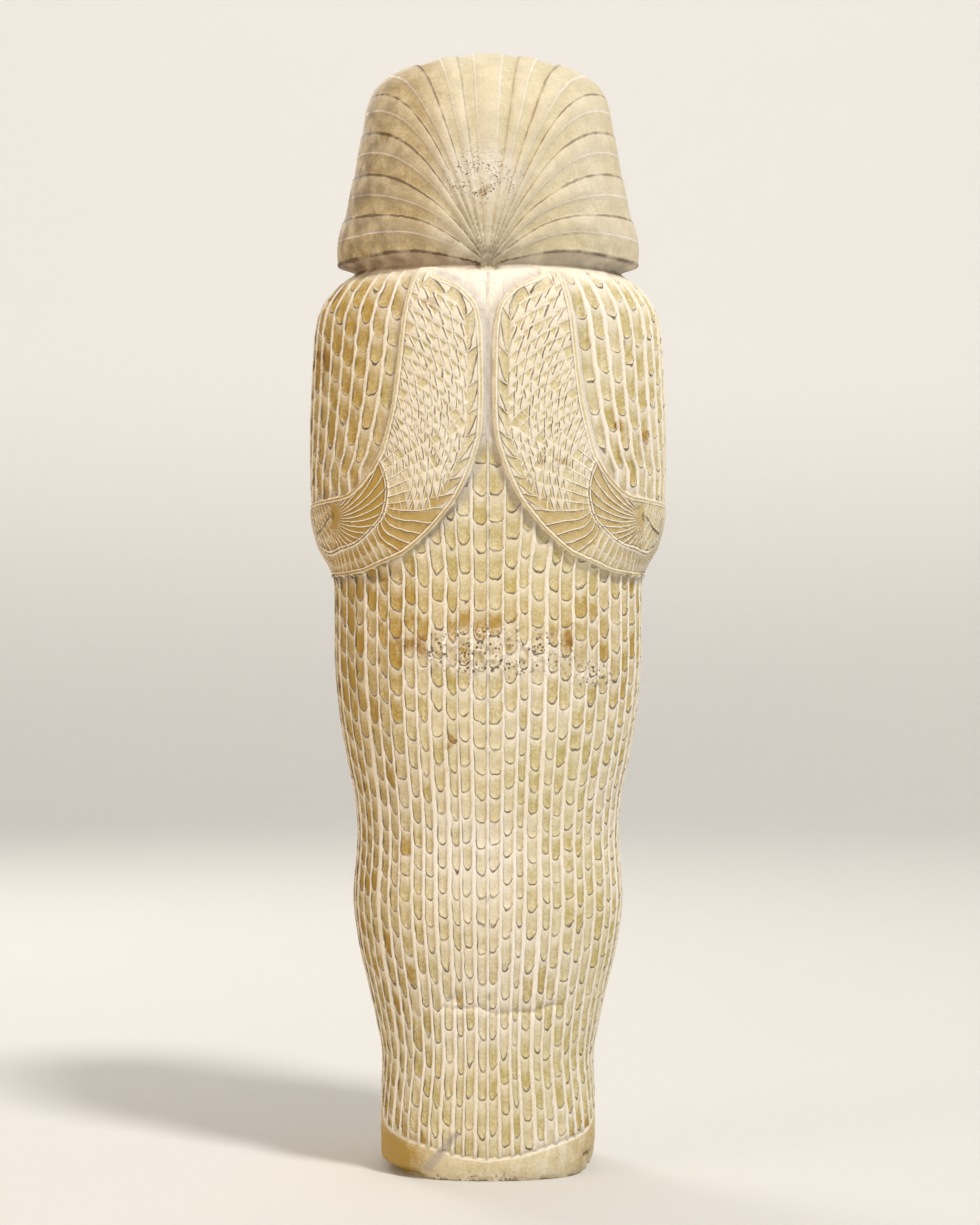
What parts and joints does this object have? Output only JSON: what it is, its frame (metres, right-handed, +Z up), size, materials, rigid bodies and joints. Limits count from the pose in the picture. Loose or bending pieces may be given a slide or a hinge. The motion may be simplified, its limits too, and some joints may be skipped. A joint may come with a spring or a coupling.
{
  "type": "pharaoh statue",
  "caption": "Standing stone figure of a king wrapped as a mummy, with a pleated head cloth, crossed arms, wings folded round the back and feathers down to the feet.",
  "frame": {"origin": "centre of the flat underside, on the figure's axis", "axes": "+Z up from the sole to the crown; the figure looks along -Y; +X is its left-hand side"},
  "size_m": [0.145, 0.103, 0.45],
  "materials": {
    "limestone": "matte"
  },
  "bodies": {
    "root": {"pharaoh_figure": "limestone"}
  },
  "joints": []
}
